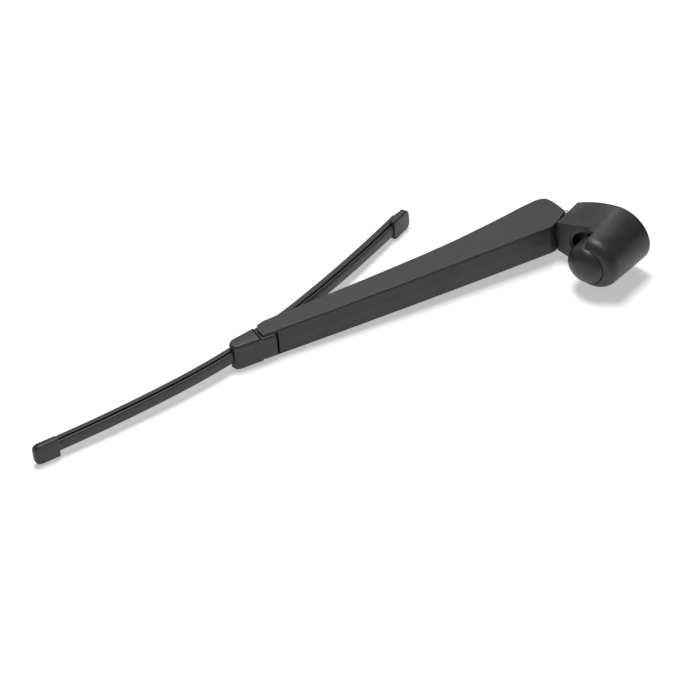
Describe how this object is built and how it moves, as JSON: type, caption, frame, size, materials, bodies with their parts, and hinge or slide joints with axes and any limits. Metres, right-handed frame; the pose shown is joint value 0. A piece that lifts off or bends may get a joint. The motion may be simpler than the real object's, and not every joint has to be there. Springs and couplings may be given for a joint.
{
  "type": "wiper arm",
  "caption": "Rear window wiper arm with flat beam blade, arm lifted off the glass, drive head with nut cap, inner tension spring and tilting blade.",
  "frame": {"origin": "on the spindle axis, in the plane of the head's open rim, where the spindle's bore begins", "axes": "+Y along the spindle towards the car body, so the nut cap faces -Y; +Z along the hinge pin; the parked arm runs towards -X"},
  "size_m": [0.2412, 0.3994, 0.0464],
  "materials": {
    "head_plastic": "fine grained matt black",
    "arm_plastic": "fine grained matt black",
    "cap_plastic": "satin black",
    "blade_rubber": "matt black",
    "spoiler_rubber": "smooth satin black",
    "inner_plastic": "plain dark grey",
    "bush_plastic": "plain off-white",
    "bare_steel": "zinc plated",
    "spring_steel": "oiled",
    "hub_metal": "as cast"
  },
  "bodies": {
    "head": {"drive_head": "head_plastic", "hub_insert": "hub_metal", "head_spring_pin": "bare_steel", "hinge_bush_upper": "bush_plastic", "hinge_bush_lower": "bush_plastic"},
    "cap": {"nut_cap": "cap_plastic"},
    "arm": {"arm_shell": "arm_plastic", "hinge_pin": "bare_steel", "hinge_washer_upper": "bush_plastic", "hinge_washer_lower": "bush_plastic", "arm_spring_pin": "bare_steel", "tension_spring": "spring_steel", "pivot_pin": "bare_steel"},
    "hook": {"spring_hook": "spring_steel"},
    "blade": {"blade_bracket": "inner_plastic", "adapter_cover": "cap_plastic", "steel_strip_upper": "spring_steel", "steel_strip_lower": "spring_steel", "wiper_rubber": "blade_rubber", "spoiler_near": "spoiler_rubber", "spoiler_far": "spoiler_rubber", "end_cap_near": "cap_plastic", "end_cap_far": "cap_plastic"}
  },
  "joints": [
    {"name": "arm_fold", "type": "hinge", "parent": "head", "child": "arm", "pos_m": [-0.045, -0.015, 0], "axis": [0, 0, 1], "range_deg": [-70, 0], "deforming": ["tension_spring"]},
    {"name": "hook_swing", "type": "hinge", "parent": "head", "child": "hook", "pos_m": [-0.0405, -0.0085, 0], "axis": [0, 0, 1], "range_deg": [-66, 0]},
    {"name": "blade_tilt", "type": "hinge", "parent": "arm", "child": "blade", "pos_m": [-0.14404, -0.22148, 0], "axis": [0, 0, 1], "range_deg": [-16, 8]},
    {"name": "cap_pull", "type": "slide", "parent": "head", "child": "cap", "axis": [0, -1, 0], "range_m": [0, 0.025]}
  ],
  "couplings": [
    {"joint": "hook_swing", "follows": "arm_fold", "ratio": 0.932}
  ]
}
